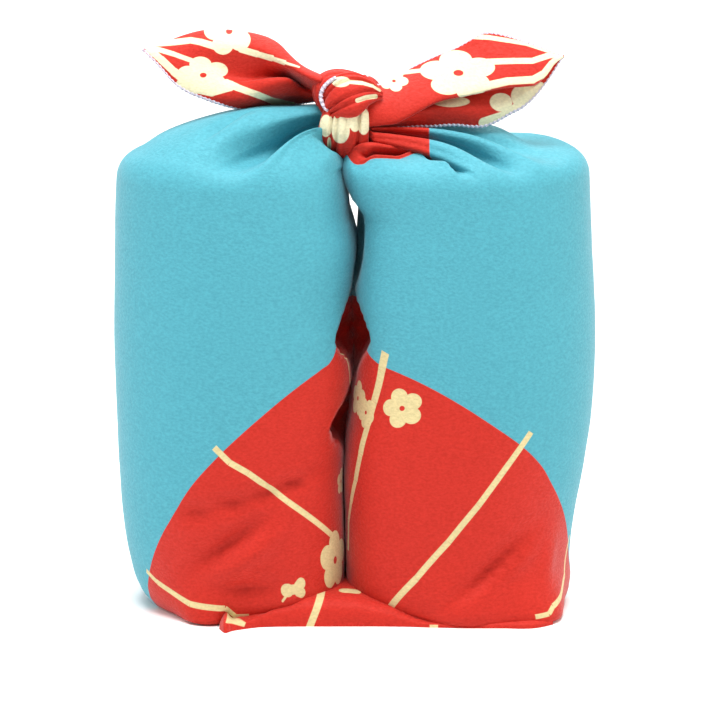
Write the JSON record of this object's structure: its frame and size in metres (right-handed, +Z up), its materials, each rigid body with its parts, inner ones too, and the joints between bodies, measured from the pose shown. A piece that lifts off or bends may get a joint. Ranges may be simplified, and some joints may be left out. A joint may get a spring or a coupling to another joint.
{
  "type": "furoshiki wrap",
  "caption": "Square of printed crepe cloth wrapped round upright cylindrical goods that stand side by side, gathered and knotted on top with pointed tails.",
  "frame": {"origin": "centre of the bounding box in plan, on the surface the wrap stands on", "axes": "+Z up through the knot, +X along the row of wrapped goods to the right of a viewer in front, -Y to the front"},
  "size_m": [0.202, 0.11, 0.2432],
  "materials": {
    "printed_crepe": "pebbled polyester crepe, printed, overlocked edge"
  },
  "bodies": {
    "root": {"furoshiki_cloth": "printed_crepe"}
  },
  "joints": []
}
